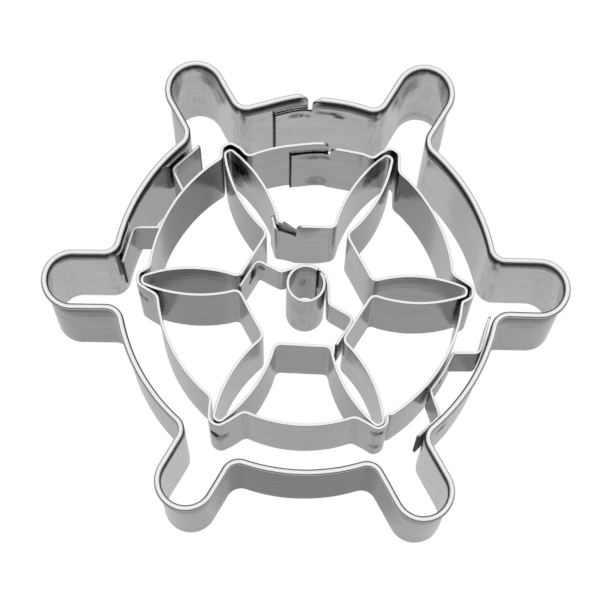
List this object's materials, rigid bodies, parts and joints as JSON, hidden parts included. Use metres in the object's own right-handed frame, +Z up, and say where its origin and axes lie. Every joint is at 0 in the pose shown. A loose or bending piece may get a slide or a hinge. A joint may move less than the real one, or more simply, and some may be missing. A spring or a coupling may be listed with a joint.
{
  "type": "embossing cookie cutter",
  "caption": "Ship's wheel cookie cutter of bent, spot-welded steel strips: an outer cutting band with a rolled rim and a shorter ring, spokes and hub tube that emboss the dough",
  "frame": {"origin": "centre of the footprint, on the table that the cutting edge rests on", "axes": "+X points through the right-hand handle, +Y points to the arc with the lap seams, +Z points up to the rolled rim"},
  "size_m": [0.0756, 0.0678, 0.022],
  "materials": {
    "outer_cutting_band": "satin mill finish",
    "inner_ring_band": "satin mill finish",
    "spoke_band": "satin mill finish",
    "centre_tube": "satin mill finish",
    "hub_bridge_strap": "satin mill finish",
    "left_bridge_strap": "satin mill finish",
    "right_bridge_strap": "satin mill finish"
  },
  "bodies": {
    "root": {"outer_cutting_band": "outer_cutting_band", "inner_ring_band": "inner_ring_band", "spoke_band": "spoke_band", "centre_tube": "centre_tube", "hub_bridge_strap": "hub_bridge_strap", "left_bridge_strap": "left_bridge_strap", "right_bridge_strap": "right_bridge_strap"}
  },
  "joints": []
}
